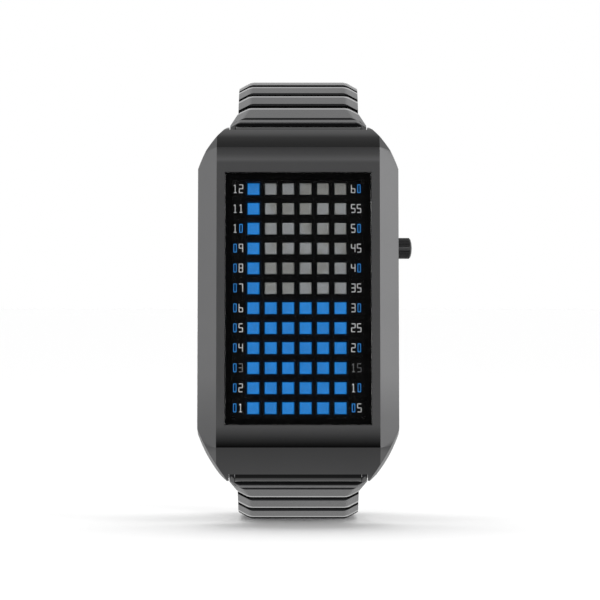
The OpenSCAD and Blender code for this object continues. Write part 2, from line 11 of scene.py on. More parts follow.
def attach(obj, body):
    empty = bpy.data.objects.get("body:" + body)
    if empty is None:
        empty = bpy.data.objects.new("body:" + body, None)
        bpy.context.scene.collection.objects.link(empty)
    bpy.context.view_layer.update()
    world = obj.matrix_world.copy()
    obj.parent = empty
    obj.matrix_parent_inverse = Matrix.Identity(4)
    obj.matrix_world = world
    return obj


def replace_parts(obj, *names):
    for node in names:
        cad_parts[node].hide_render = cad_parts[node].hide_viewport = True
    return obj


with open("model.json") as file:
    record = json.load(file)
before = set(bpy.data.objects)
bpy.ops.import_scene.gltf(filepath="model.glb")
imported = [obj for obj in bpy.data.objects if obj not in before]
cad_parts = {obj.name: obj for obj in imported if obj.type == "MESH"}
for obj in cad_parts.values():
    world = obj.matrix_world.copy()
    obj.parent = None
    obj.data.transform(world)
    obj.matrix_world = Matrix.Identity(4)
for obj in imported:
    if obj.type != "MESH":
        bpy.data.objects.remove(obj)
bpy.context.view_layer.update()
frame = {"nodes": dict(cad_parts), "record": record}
scene = bpy.context.scene
MM, PER_METRE = 0.001, 1000.0

# The case stands leaning, so its pieces are placed from the middle of the dial:
# across to the right, inwards from the front, and up along the case.
CASE_T = 9.0
back_face = next(m for m in frame["record"]["mounts"] if m["name"] == "wrist_face")
INWARD = Vector(back_face["axis"]).normalized()
ACROSS = Vector((1, 0, 0))
UPWARD = ACROSS.cross(INWARD)
DIAL = Vector(back_face["pos_m"]) - INWARD * CASE_T * MM
LEAN = math.asin(-INWARD.z)

# Sizes of the dial in millimetres, as in the part
COLUMNS, ROWS = 6, 12
COLUMN_PITCH, ROW_PITCH, GRID_SHIFT, GRID_RISE = 2.86, 3.32, -0.22, 0.38
LED_SIZE, LED_FRONT, LED_BACK, LED_ROUND = 1.98, 2.75, 3.9, 0.14
MASK_FRONT = 2.55
LIT_ROWS = 6
WINDOW_W, WINDOW_LEN, LEDGE_W = 24.1, 42.1, 1.0
CRYSTAL_BACK = 1.55
FRONT_LEN, FRONT_RISE = 50.0, 0.25
BUTTON_DEPTH, BUTTON_UP, BUTTON_D, BUTTON_END = 5.6, 9.3, 3.45, 18.75
BAR_DEPTH, BAR_REACH = 6.3, 28.3


def case_matrix(inward):
    """Takes a shape drawn in millimetres, X across, Y up the dial and Z out of the front."""
    turn = Matrix((ACROSS, UPWARD, -INWARD)).transposed().to_4x4()
    place = DIAL + INWARD * inward * MM
    return Matrix.Translation(place) @ turn @ Matrix.Scale(MM, 4)


# ---- Shader expressions


class Value:
    """A socket of a finish's node tree that takes part in Python expressions."""

    def __init__(self, finish, socket):
        self.finish, self.socket = finish, socket

    def _math(self, operation, *operands):
        inputs = dict(enumerate(operands))
        return self.finish.node("ShaderNodeMath", {"operation": operation}, inputs)

    def __add__(self, other):
        return self._math("ADD", self, other)

    __radd__ = __add__

    def __sub__(self, other):
        return self._math("SUBTRACT", self, other)

    def __rsub__(self, other):
        return self._math("SUBTRACT", other, self)

    def __mul__(self, other):
        return self._math("MULTIPLY", self, other)

    __rmul__ = __mul__

    def __truediv__(self, other):
        return self._math("DIVIDE", self, other)

    def __rtruediv__(self, other):
        return self._math("DIVIDE", other, self)

    def __pow__(self, other):
        return self._math("POWER", self, other)

    def __rpow__(self, other):
        return self._math("POWER", other, self)

    def __abs__(self):
        return self._math("ABSOLUTE", self)

    def larger(self, other):
        return self._math("MAXIMUM", self, other)

    def below(self, limit):
        return self._math("LESS_THAN", self, limit)

    def above(self, limit):
        return self._math("GREATER_THAN", self, limit)

    def wrapped(self, length):
        """What is left over after whole lengths, never negative."""
        return self._math("WRAP", self, length, 0.0)

    def between(self, low, high):
        """0 below low, 1 above high, and smooth between them."""
        return self.finish.node(
            "ShaderNodeMapRange",
            {"interpolation_type": "SMOOTHSTEP"},
            {"Value": self, "From Min": low, "From Max": high},
        )


# The colour sockets of a Mix node, whose names its number sockets share
MIX_FIRST, MIX_SECOND, MIX_COLOR = 6, 7, 2


class Finish:
    """A material, built from expressions and set on one Principled shader."""

    def __init__(self, name, **constants):
        self.material = bpy.data.materials.new(name)
        self.material.use_nodes = True
        self.tree = self.material.node_tree
        self.shader = self.tree.nodes["Principled BSDF"]
        for socket, value in constants.items():
            self.set(socket.replace("_", " ").title(), value)

    def node(self, kind, settings=None, inputs=None, output=0):
        node = self.tree.nodes.new(kind)
        for key, value in (settings or {}).items():
            if key == "stops":
                self._stops(node.color_ramp, value)
            else:
                setattr(node, key, value)
        for key, value in (inputs or {}).items():
            self._feed(node.inputs[key], value)
        return Value(self, node.outputs[output])

    def _stops(self, ramp, stops):
        while len(ramp.elements) < len(stops):
            ramp.elements.new(1.0)
        for element, (place, color) in zip(ramp.elements, stops):
            element.position, element.color = place, (*color, 1.0)

    def _feed(self, socket, value):
        if isinstance(value, Value):
            self.tree.links.new(value.socket, socket)
        elif hasattr(value, "__len__") and len(value) == 3 and socket.type == "RGBA":
            socket.default_value = (*value, 1.0)
        else:
            socket.default_value = value

    def set(self, socket, value):
        name = "IOR" if socket == "Ior" else socket
        self._feed(self.shader.inputs[name], value)
        return self

    def place(self, turn=(0, 0, 0), scale=(1, 1, 1)):
        """Object coordinates in millimetres, turned and then stretched."""
        raw = self.node("ShaderNodeTexCoord", output="Object")
        turned = self.node(
            "ShaderNodeMapping",
            {"vector_type": "POINT"},
            {"Vector": raw, "Rotation": turn, "Scale": (PER_METRE,) * 3},
        )
        settings = {"operation": "MULTIPLY"}
        return self.node("ShaderNodeVectorMath", settings, {0: turned, 1: scale})

    def facing(self, direction):
        """How far the surface faces a direction of the object, from -1 to 1."""
        normal = self.node("ShaderNodeTexCoord", output="Normal")
        settings = {"operation": "DOT_PRODUCT"}
        return self.node("ShaderNodeVectorMath", settings, {0: normal, 1: direction}, "Value")

    def along(self, direction):
        """Distance from the middle of the dial along a direction, in millimetres."""
        spot = self.node("ShaderNodeTexCoord", output="Object")
        settings = {"operation": "DOT_PRODUCT"}
        reach = self.node("ShaderNodeVectorMath", settings, {0: spot, 1: direction}, "Value")
        return (reach - DIAL.dot(direction)) * PER_METRE

    def cell(self):
        """Distance from the middle of the nearest LED square, and whether it is lit."""
        across = self.along(ACROSS) - (GRID_SHIFT - COLUMNS / 2 * COLUMN_PITCH)
        up = self.along(UPWARD) - (GRID_RISE - ROWS / 2 * ROW_PITCH)
        side = abs(across.wrapped(COLUMN_PITCH) - COLUMN_PITCH / 2)
        rise = abs(up.wrapped(ROW_PITCH) - ROW_PITCH / 2)
        low = up.below(LIT_ROWS * ROW_PITCH)
        lit = low.larger(across.below(COLUMN_PITCH))
        inside = across.above(0.0) * across.below(COLUMNS * COLUMN_PITCH)
        inside = inside * up.above(0.0) * up.below(ROWS * ROW_PITCH)
        return side.larger(rise), lit * inside

    def ramp(self, value, low, high, stops):
        """A grey that follows a value, from stops of value and brightness."""
        span = high - low
        colors = [((v - low) / span, (grey, grey, grey)) for v, grey in stops]
        return self.node("ShaderNodeValToRGB", {"stops": colors}, {0: (value - low) / span})

    def noise(self, place, scale=1.0, detail=2.0, roughness=0.5):
        inputs = {"Vector": place, "Scale": scale, "Detail": detail, "Roughness": roughness}
        return self.node("ShaderNodeTexNoise", {}, inputs)

    def mix(self, factor, first, second, **settings):
        settings["data_type"] = "RGBA"
        inputs = {0: factor, MIX_FIRST: first, MIX_SECOND: second}
        return self.node("ShaderNodeMix", settings, inputs, MIX_COLOR)

    def tint(self, color, strength):
        """A colour made lighter or darker by a value around 1."""
        grey = self.node("ShaderNodeCombineColor", {}, {0: strength, 1: strength, 2: strength})
        return self.times(color, grey)

    def times(self, first, second):
        return self.mix(1.0, first, second, blend_type="MULTIPLY")

    def bump(self, height, distance):
        """Relief that follows a value; distance is its full height in millimetres."""
        inputs = {"Height": height, "Distance": distance * MM, "Strength": 1.0}
        return self.set("Normal", self.node("ShaderNodeBump", {}, inputs))


# ---- Finishes

BRUSH_DEPTH, GRAIN_DEPTH = 0.002, 0.004


def brush_lines(finish, grain, turn=(0, 0, 0), detail=3.0):
    """Brush lines; grain is how dense they lie along each axis."""
    return finish.noise(finish.place(turn, grain), 1.0, detail, 0.6)


def brushed(name, color, grain, roughness, turn=(0, 0, 0)):
    """Metal with fine brush lines."""
    finish = Finish(name, metallic=1.0)
    lines = brush_lines(finish, grain, turn)
    cloud = finish.noise(finish.place(turn), 0.12, 2.0)
    finish.set("Base Color", finish.tint(color, 0.88 + 0.16 * lines + 0.08 * cloud))
    finish.set("Roughness", roughness - 0.05 + 0.10 * lines)
    return finish.bump(lines, BRUSH_DEPTH)


def plastic(name, color, roughness):
    """Moulded plastic or rubber with a faint grain."""
    finish = Finish(name)
    grain = finish.noise(finish.place(), 6.0, 3.0)
    finish.set("Base Color", finish.tint(color, 0.95 + 0.10 * grain))
    finish.set("Roughness", roughness - 0.04 + 0.08 * grain)
    return finish.bump(grain, GRAIN_DEPTH)


# Lays a pattern along the leaning case
TURN = (-LEAN, 0, 0)


def button_metal():
    """Black push button: dark grooves, and painted highlights on the crests of its ribs, in a
    stripe across them and on their end rim.
    """
    finish = Finish("button_black", metallic=1.0)
    inward = finish.along(INWARD) - BUTTON_DEPTH
    up = finish.along(UPWARD) - BUTTON_UP
    radius = (inward * inward + up * up) ** 0.5
    grain = finish.noise(finish.place(), 5.0, 3.0)
    # Painted highlights: on the crests of the ribs, in a stripe across them and on their end
    # rim.
    crest_highlight = radius.between(BUTTON_D / 2 - 0.22, BUTTON_D / 2 - 0.02)
    across = finish.along(ACROSS)
    rim = across.between(BUTTON_END - 0.30, BUTTON_END - 0.16) * crest_highlight
    highlight_band = 1.0 - abs(up + 0.3).between(0.1, 0.4)
    tone = 0.003 + 0.014 * crest_highlight + 0.026 * grain * crest_highlight + 0.06 * highlight_band * crest_highlight + 0.05 * rim
    finish.set("Base Color", finish.tint((1.0, 1.0, 1.02), tone))
    finish.set("Roughness", 0.24 + 0.16 * grain)
    return finish.bump(grain, 1.5 * GRAIN_DEPTH)


def mask_print():
    """Dull black with a faint glow around the lit squares."""
    finish = Finish("mask_black", roughness=0.7)
    finish.set("Specular IOR Level", 0.0)
    grain = finish.noise(finish.place(), 6.0, 3.0)
    finish.set("Base Color", finish.tint((0.0015, 0.0015, 0.0016), 0.8 + 0.4 * grain))
    distance, lit = finish.cell()
    halo = (1.0 - (distance - LED_SIZE / 2).between(0.0, 0.42)) * lit
    finish.set("Emission Color", finish.tint((0.0004, 0.005, 0.016), halo))
    finish.set("Emission Strength", 1.0)
    return finish.bump(grain, GRAIN_DEPTH)


def case_metal():
    """Dark coated metal: brushed facets on the flanks, a smoother front and end slopes.

    Its light and dark bands are painted reflections, shares of its colour by height. In
    the photograph they are mostly reflections.
    """
    finish = Finish("case_gunmetal", metallic=1.0)
    finish.set("Specular Tint", (0.75, 0.75, 0.75))
    lines = brush_lines(finish, (14.0, 14.0, 0.5), TURN)
    across = brush_lines(finish, (0.3, 12.0, 12.0), TURN, 2.0)
    cloud = finish.noise(finish.place(TURN), 0.15, 2.0)
    front = finish.facing(-INWARD).between(0.93, 0.985)
    flank = abs(finish.facing(ACROSS)).between(0.3, 0.45)
    height = finish.along(UPWARD)
    top, bottom = FRONT_RISE + FRONT_LEN / 2, FRONT_RISE - FRONT_LEN / 2
    front = front * height.above(bottom) * height.below(top)
    # Painted reflections and shade: these ramps lighten and darken the end slopes, the front
    # and the flank facets by height.
    slopes = finish.ramp(height, bottom - 4, top + 4, (
        (bottom - 4, 0.45), (bottom, 0.33), (top, 0.03), (top + 1.1, 0.07), (top + 2.1, 0.15),
        (top + 3.0, 0.50), (top + 3.9, 0.66),
    ))
    face = finish.ramp(height, bottom, top, (
        (bottom, 0.013), (bottom + 0.6, 0.096), (bottom + 1.6, 0.314), (bottom + 2.4, 0.53),
        (bottom + 3.6, 0.786), (top - 2.6, 0.70), (top - 2.1, 1.0), (top - 1.2, 0.64),
        (top - 0.4, 0.49), (top, 0.39),
    ))
    sides = finish.ramp(height, bottom - 4, top + 4, (
        (bottom - 2, 0.85), (bottom - 0.6, 0.82), (bottom + 0.4, 0.54), (bottom + 5, 0.58),
        (bottom + 12, 0.73), (top - 3, 0.72), (top + 2, 0.66),
    ))
    base = finish.mix(front, finish.times((0.145, 0.145, 0.147), slopes),
                      finish.times((0.126, 0.126, 0.128), face))
    base = finish.mix(flank, base, finish.times((0.150, 0.150, 0.152), sides))
    finish.set("Base Color", finish.tint(base, 0.90 + 0.12 * lines + 0.08 * cloud))
    finish.set("Roughness", 0.26 + 0.10 * lines + 0.06 * flank)
    return finish.bump(lines * flank + across * 0.4 * (1.0 - flank), 0.0015)


LINK_GRAIN = (0.5, 14.0, 14.0)


def link_metal():
    """The links: brushed across, with a painted highlight on their slanted corners and sides.
    """
    finish = Finish("link_steel", metallic=1.0)
    finish.set("Specular Tint", (0.62, 0.62, 0.62))
    lines = brush_lines(finish, LINK_GRAIN)
    cloud = finish.noise(finish.place(), 0.12, 2.0)
    # A painted highlight: faces that turn sideways get a paler colour.
    slant_highlight = abs(finish.facing(ACROSS)).between(0.12, 0.40)
    base = finish.mix(slant_highlight, (0.172, 0.172, 0.174), (0.250, 0.250, 0.253))
    finish.set("Base Color", finish.tint(base, 0.86 + 0.20 * lines + 0.08 * cloud))
    finish.set("Roughness", 0.23 + 0.10 * lines)
    return finish.bump(lines, BRUSH_DEPTH)


def bar_metal():
    """The end bars: painted shade where they face out, and painted highlights on their faces
    above and below.
    """
    finish = Finish("bar_steel", metallic=1.0)
    lines = brush_lines(finish, (0.6, 12.0, 12.0))
    upright = abs(finish.facing(Vector((0, 0, 1))))
    # Painted light by how far a face looks up or down: shade on the outward faces and
    # highlights on the upper and lower ones.
    tone = finish.ramp(upright, 0.0, 1.0, (
        (0.0, 0.03), (0.50, 0.03), (0.62, 0.20), (0.92, 0.26), (0.98, 1.0),
    ))
    tone = finish.times((0.34, 0.34, 0.342), tone)
    finish.set("Base Color", finish.tint(tone, 0.9 + 0.2 * lines))
    finish.set("Roughness", 0.24 + 0.10 * lines)
    return finish.bump(lines, BRUSH_DEPTH)


def crystal_finish():
    """Clear glass."""
    finish = Finish("crystal_glass", roughness=0.03, ior=1.5, transmission_weight=1.0)
    finish.set("Base Color", (0.96, 0.97, 0.98))
    return finish


def led_finish(name, dark, light, glow=0.0):
    """A diffusing square: each one has its own tone and a slightly paler rim."""
    finish = Finish(name, roughness=0.35)
    tone = finish.noise(finish.place(TURN, (0.37, 0.3, 0.31)), 1.0, 0.0)
    grain = finish.noise(finish.place(TURN), 5.0, 2.0)
    distance, _ = finish.cell()
    rim = distance.between(0.62, 0.70) * 0.10
    color = finish.mix(tone.between(0.35, 0.65), dark, light)
    color = finish.tint(color, 0.86 + rim + 0.12 * grain)
    finish.set("Base Color", color)
    if glow:
        finish.set("Emission Color", color)
        finish.set("Emission Strength", glow)
    return finish


FINISHES = {
    "case": case_metal(),
    "links": link_metal(),
    "dark_steel": brushed("dark_steel", (0.10, 0.10, 0.105), (0.6, 12.0, 12.0), 0.30),
    "bare_steel": brushed("bare_steel", (0.42, 0.42, 0.42), (12.0, 12.0, 0.5), 0.28, TURN),
    "cell": brushed("cell_can", (0.55, 0.55, 0.54), (3.0, 3.0, 3.0), 0.25, TURN),
    "mask": mask_print(),
    "board": plastic("board_green", (0.012, 0.10, 0.03), 0.45),
    "chips": plastic("chip_black", (0.012, 0.012, 0.012), 0.5),
    "frame": plastic("frame_nylon", (0.66, 0.64, 0.57), 0.55),
    "rubber": plastic("gasket_rubber", (0.012, 0.012, 0.012), 0.8),
    "button": button_metal(),
    "crystal": crystal_finish(),
    "led_blue": led_finish("led_blue", (0.003, 0.240, 0.730), (0.004, 0.265, 0.800), 0.3),
    "led_grey": led_finish("led_grey", (0.400, 0.395, 0.365), (0.480, 0.490, 0.490)),
}
# Painted light on the links: a pale highlight along each far edge and dark shade in the gaps.
LINK_HIGHLIGHT = brushed("link_edge_highlight", (0.360, 0.360, 0.362), LINK_GRAIN, 0.24)
LINK_GAP_SHADE = brushed("link_gap_shade", (0.018, 0.018, 0.019), LINK_GRAIN, 0.40)
# The white and blue print carry a painted glow: print gives no light of its own.
PRINT_WHITE_GLOW = led_finish("print_white_glow", (0.76, 0.76, 0.76), (0.84, 0.84, 0.84), 0.25)
PRINT_DIM = led_finish("print_dim", (0.22, 0.22, 0.22), (0.26, 0.26, 0.26))
PRINT_BLUE_GLOW = led_finish("print_blue_glow", (0.012, 0.21, 0.62), (0.015, 0.24, 0.68), 0.6)

SLOT_OF = {s["node"]: s["material_slot"] for s in frame["record"]["subparts"]}
BODY_OF = {n: b for b, ns in frame["record"]["behaviour"]["bodies"].items() for n in ns}


def wear(obj, finish):
    obj.data.materials.clear()
    obj.data.materials.append(finish.material)


for node_name, node_object in frame["nodes"].items():
    wear(node_object, FINISHES[SLOT_OF[node_name]])
wear(frame["nodes"]["end_bars"], bar_metal())


# ---- Pieces


def add_piece(name, mesh, body, finish=None):
    """A finished piece that rides on a body."""
    piece = bpy.data.objects.new(name, mesh)
    scene.collection.objects.link(piece)
    if finish:
        wear(piece, finish)
    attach(piece, body)
    return piece


def loose_mesh(node):
    """A copy of a node's mesh, with its points joined and its flat faces whole."""
    work = bmesh.new()
    work.from_mesh(frame["nodes"][node].data)
    bmesh.ops.remove_doubles(work, verts=work.verts, dist=1e-7)
    flat = math.radians(0.5)
    bmesh.ops.dissolve_limit(work, angle_limit=flat, verts=work.verts, edges=work.edges)
    return work


# Edges that turn by more than this, in degrees, are eased and stay sharp in the shading
SHARP_TURN = 25


def ease_edges(work, width, low, high=180, segments=2):
    """Bevels the edges that turn by an angle between two limits, in degrees."""
    chosen = [
        e for e in work.edges
        if e.is_manifold and low < math.degrees(e.calc_face_angle()) <= high
    ]
    bmesh.ops.bevel(
        work, geom=chosen, offset=width * MM, offset_type="OFFSET", segments=segments,
        profile=0.5, affect="EDGES", clamp_overlap=True, miter_outer="SHARP",
    )


def flat_shaded(mesh):
    """The mesh with its shading led by the large faces, so that flats look flat."""
    source = bpy.data.objects.new("source", mesh)
    scene.collection.objects.link(source)
    weighting = source.modifiers.new("large_faces_lead", "WEIGHTED_NORMAL")
    weighting.keep_sharp = True
    bpy.context.view_layer.update()
    depsgraph = bpy.context.evaluated_depsgraph_get()
    made = bpy.data.meshes.new_from_object(source.evaluated_get(depsgraph))
    bpy.data.objects.remove(source)
    return made


def put_back(work, node):
    """Stands for a node with its reworked mesh."""
    bmesh.ops.triangulate(work, faces=[f for f in work.faces if len(f.verts) > 4])
    for face in work.faces:
        face.smooth = True
    mesh = bpy.data.meshes.new(node + "_eased")
    work.to_mesh(mesh)
    work.free()
    mesh.set_sharp_from_angle(angle=math.radians(SHARP_TURN))
    mesh.materials.append(FINISHES[SLOT_OF[node]].material)
    mesh = flat_shaded(mesh)
    piece = add_piece(node + "_eased", mesh, BODY_OF[node])
    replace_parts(piece, node)
    return piece


for node_name, width in (
    ("case_body", 0.10), ("button", 0.03), ("case_back", 0.08), ("crystal", 0.08),
    ("clasp_cover", 0.03),
):
    work = loose_mesh(node_name)
    ease_edges(work, width, SHARP_TURN)
    put_back(work, node_name)


# The rib of each first link, in millimetres ahead of its bar and outwards from it
RIB_NEAR, RIB_FAR, RIB_FOOT, RIB_TOP = 0.9, 1.9, 1.1, 1.55
# The last of these is how far ahead of its bar the first link carries painted shade.
RIB_LIFT, RIB_SHIFT, RIB_SHADE = 0.2, 0.3, 1.3
MARGIN = 0.05
# The links, in millimetres, with the turns of their corners and edges in degrees
# The last of these is the width of the painted highlight along each link's far edge.
LINKS_A_SIDE, WRIST_DEPTH, HIGHLIGHT_STRIP = 9, 32, 0.5
CORNER_ROUND, EDGE_ROUND = 0.90, 0.10
CORNER_TURNS, EDGE_TURN = (20, 38), 40
WRIST = DIAL + INWARD * WRIST_DEPTH * MM
# How far a face has to look outwards, back or ahead, from -1 to 1, and the finishes
# that a link has after its own: the painted highlight on its far edge and the painted shade in
# its gap
LOOKS_OUT, LOOKS_BACK, LOOKS_AHEAD = 0.2, -0.25, 0.8
LIGHT, DARK = 1, 2


def cut_at(work, point, direction):
    """Splits the faces along a plane, so that a strip of them can take another finish: the
    painted highlight at a far edge, the painted shade by a bar.
    """
    everything = work.verts[:] + work.edges[:] + work.faces[:]
    bmesh.ops.bisect_plane(work, geom=everything, dist=1e-8, plane_co=point, plane_no=direction)


def narrow_groove(work, bar, ahead, outward):
    """Lifts the rib of a first link and brings it close to the face beyond it."""
    for vert in work.verts:
        along, out = (vert.co - bar).dot(ahead) / MM, (vert.co - bar).dot(outward) / MM
        on_rib = RIB_NEAR - MARGIN < along < RIB_FAR + MARGIN
        if on_rib and abs(out - RIB_TOP) < MARGIN:
            vert.co += outward * RIB_LIFT * MM
        if abs(along - RIB_FAR) < MARGIN and RIB_FOOT < out < RIB_TOP + MARGIN:
            vert.co += ahead * RIB_SHIFT * MM


def eased_link(node, side, number):
    """A link with round corners, a painted highlight along its far edge, and painted shade on
    its near edge and end walls.
    """
    work = loose_mesh(node)
    sign = 1 if side == "upper" else -1
    flat = [f for f in work.faces if abs(f.normal.x) < 0.01]
    outward = max(flat, key=lambda f: f.calc_area()).normal.copy()
    middle = sum((v.co for v in work.verts), Vector()) / len(work.verts)
    if outward.dot(middle - WRIST) < 0:
        outward.negate()
    ahead = outward.cross(ACROSS) * sign
    bar = DIAL + (INWARD * BAR_DEPTH + UPWARD * (FRONT_RISE + sign * BAR_REACH)) * MM
    if number == 1:
        narrow_groove(work, bar, ahead, outward)
    top = max(v.co.dot(outward) for v in work.verts)
    end = max(v.co.dot(ahead) for v in work.verts if v.co.dot(outward) > top - 1e-5)
    ease_edges(work, CORNER_ROUND, *CORNER_TURNS, segments=4)
    ease_edges(work, EDGE_ROUND, EDGE_TURN)
    cut_at(work, ahead * (end - HIGHLIGHT_STRIP * MM), ahead)
    if number == 1:
        cut_at(work, bar + ahead * RIB_SHADE * MM, ahead)
    for face in work.faces:
        along, out = face.normal.dot(ahead), face.normal.dot(outward)
        spot = face.calc_center_median()
        on_highlight_strip = spot.dot(ahead) > end - HIGHLIGHT_STRIP * MM
        # Painted light: the far edge strip gets the highlight, and the end walls and the rib by
        # the bar get the shade.
        if out > LOOKS_OUT and along > -LOOKS_OUT and on_highlight_strip:
            face.material_index = LIGHT
        elif along < LOOKS_BACK or along > LOOKS_AHEAD:
            face.material_index = DARK
        elif number == 1 and (spot - bar).dot(ahead) < RIB_SHADE * MM and out > LOOKS_OUT:
            face.material_index = DARK
    piece = put_back(work, node)
    for finish in (LINK_HIGHLIGHT, LINK_GAP_SHADE):
        piece.data.materials.append(finish.material)


for side in ("upper", "lower"):
    for number in range(1, LINKS_A_SIDE + 1):
        eased_link(f"{side}_link_{number}", side, number)


def repeat_tree():
    """Sets a piece at each point of a mesh."""
    tree = bpy.data.node_groups.new("set_at_points", "GeometryNodeTree")
    for label, kind in (("Places", "NodeSocketGeometry"), ("Piece", "NodeSocketObject"),
                        ("Size", "NodeSocketFloat"), ("Finish", "NodeSocketMaterial")):
        tree.interface.new_socket(label, in_out="INPUT", socket_type=kind)
    tree.interface.new_socket("Pieces", in_out="OUTPUT", socket_type="NodeSocketGeometry")
    given = tree.nodes.new("NodeGroupInput")
    piece = tree.nodes.new("GeometryNodeObjectInfo")
    spread = tree.nodes.new("GeometryNodeInstanceOnPoints")
    real = tree.nodes.new("GeometryNodeRealizeInstances")
    coat = tree.nodes.new("GeometryNodeSetMaterial")
    result = tree.nodes.new("NodeGroupOutput")
    link = tree.links.new
    link(given.outputs["Piece"], piece.inputs["Object"])
    link(given.outputs["Places"], spread.inputs["Points"])
    link(piece.outputs["Geometry"], spread.inputs["Instance"])
    link(given.outputs["Size"], spread.inputs["Scale"])
    link(spread.outputs["Instances"], real.inputs["Geometry"])
    link(real.outputs["Geometry"], coat.inputs["Geometry"])
    link(given.outputs["Finish"], coat.inputs["Material"])
    link(coat.outputs["Geometry"], result.inputs["Pieces"])
    return tree


def stroke_tree():
    """Turns lines into flat raised strokes."""
    tree = bpy.data.node_groups.new("raised_strokes", "GeometryNodeTree")
    for label, kind in (("Lines", "NodeSocketGeometry"), ("Width", "NodeSocketFloat"),
                        ("Rise", "NodeSocketFloat"), ("Finish", "NodeSocketMaterial")):
        tree.interface.new_socket(label, in_out="INPUT", socket_type=kind)
    tree.interface.new_socket("Strokes", in_out="OUTPUT", socket_type="NodeSocketGeometry")
    given = tree.nodes.new("NodeGroupInput")
    path = tree.nodes.new("GeometryNodeMeshToCurve")
    normal = tree.nodes.new("GeometryNodeSetCurveNormal")
    normal.mode = "Z_UP"
    section = tree.nodes.new("GeometryNodeCurvePrimitiveQuadrilateral")
    sweep = tree.nodes.new("GeometryNodeCurveToMesh")
    sweep.inputs["Fill Caps"].default_value = True
    real = tree.nodes.new("GeometryNodeRealizeInstances")
    coat = tree.nodes.new("GeometryNodeSetMaterial")
    result = tree.nodes.new("NodeGroupOutput")
    link = tree.links.new
    link(given.outputs["Lines"], path.inputs["Mesh"])
    link(path.outputs["Curve"], normal.inputs["Curve"])
    link(given.outputs["Width"], section.inputs["Width"])
    link(given.outputs["Rise"], section.inputs["Height"])
    link(normal.outputs["Curve"], sweep.inputs["Curve"])
    link(section.outputs["Curve"], sweep.inputs["Profile Curve"])
    link(sweep.outputs["Mesh"], real.inputs["Geometry"])
    link(real.outputs["Geometry"], coat.inputs["Geometry"])
    link(given.outputs["Finish"], coat.inputs["Material"])
    link(coat.outputs["Geometry"], result.inputs["Strokes"])
    return tree


REPEAT = repeat_tree()
STROKES = stroke_tree()


def grown(tree, mesh, matrix, **values):
    """The plain mesh that a node tree makes from a mesh, put in its place."""
    source = bpy.data.objects.new("source", mesh)
    scene.collection.objects.link(source)
    modifier = source.modifiers.new("grow", "NODES")
    modifier.node_group = tree
    sockets = {i.name: i.identifier for i in tree.interface.items_tree if i.in_out == "INPUT"}
    for label, value in values.items():
        modifier[sockets[label]] = value
    bpy.context.view_layer.update()
    depsgraph = bpy.context.evaluated_depsgraph_get()
    made = bpy.data.meshes.new_from_object(source.evaluated_get(depsgraph))
    source.modifiers.remove(modifier)
    bpy.data.objects.remove(source)
    made.transform(matrix)
    return made


def lines_mesh(points, edges):
    mesh = bpy.data.meshes.new("lines")
    mesh.from_pydata(points, edges, [])
    return mesh


def row_height(row):
    return GRID_RISE + ((ROWS - 1) / 2 - row) * ROW_PITCH


def led_places(lit):
    """The middles of the lit or unlit squares, in millimetres on the dial."""
    places = []
    for column in range(COLUMNS):
        for row in range(ROWS):
            if (column == 0 or row >= ROWS - LIT_ROWS) == lit:
                across = GRID_SHIFT + (column - (COLUMNS - 1) / 2) * COLUMN_PITCH
                places.append((across, row_height(row), 0.0))
    return places


def led_tile():
    """One square of the display, with an eased and slightly crowned top."""
    work = bmesh.new()
    bmesh.ops.create_cube(work, size=1.0)
    depth = LED_BACK - LED_FRONT
    bmesh.ops.scale(work, vec=(LED_SIZE, LED_SIZE, depth), verts=work.verts)
    bmesh.ops.translate(work, vec=(0, 0, -depth / 2), verts=work.verts)
    rim = [e for e in work.edges if all(v.co.z > -depth / 2 for v in e.verts)]
    bmesh.ops.bevel(work, geom=rim, offset=LED_ROUND, segments=2, profile=0.5, affect="EDGES")
    mesh = bpy.data.meshes.new("led_tile")
    work.to_mesh(mesh)
    work.free()
    tile = bpy.data.objects.new("led_tile", mesh)
    scene.collection.objects.link(tile)
    return tile


tile = led_tile()
for lit, node, slot in ((True, "leds_lit", "led_blue"), (False, "leds_unlit", "led_grey")):
    squares = grown(
        REPEAT, lines_mesh(led_places(lit), []), case_matrix(inward=LED_FRONT),
        Piece=tile, Size=1.0, Finish=FINISHES[slot].material,
    )
    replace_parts(add_piece(node + "_squares", squares, "case"), node)
bpy.data.objects.remove(tile)

# Numerals: lines on a cell one wide and two high, from its lower left corner
BARS = {
    "a": ((0, 2), (1, 2)), "b": ((1, 2), (1, 1)), "c": ((1, 1), (1, 0)), "d": ((0, 0), (1, 0)),
    "e": ((0, 0), (0, 1)), "f": ((0, 1), (0, 2)), "g": ((0, 1), (1, 1)),
    "i": ((0.5, 0), (0.5, 2)), "j": ((0.1, 1.7), (0.5, 2)), "k": ((0.1, 0), (0.9, 0)),
}
DIGITS = {
    "0": "abcdef", "1": "ijk", "2": "abged", "3": "abgcd", "4": "fgbc",
    "5": "afgcd", "6": "fgecd", "7": "abc", "8": "abcdefg", "9": "afgbc",
}
DIGIT_W, DIGIT_H, STROKE_W, STROKE_RISE = 0.58, 1.32, 0.125, 0.03
DIGIT_PITCH, ZERO_SHARE = 0.96, 0.72
HOURS_AT, MINUTES_AT = -9.9, 9.52
MINUTES_A_ROW = 5


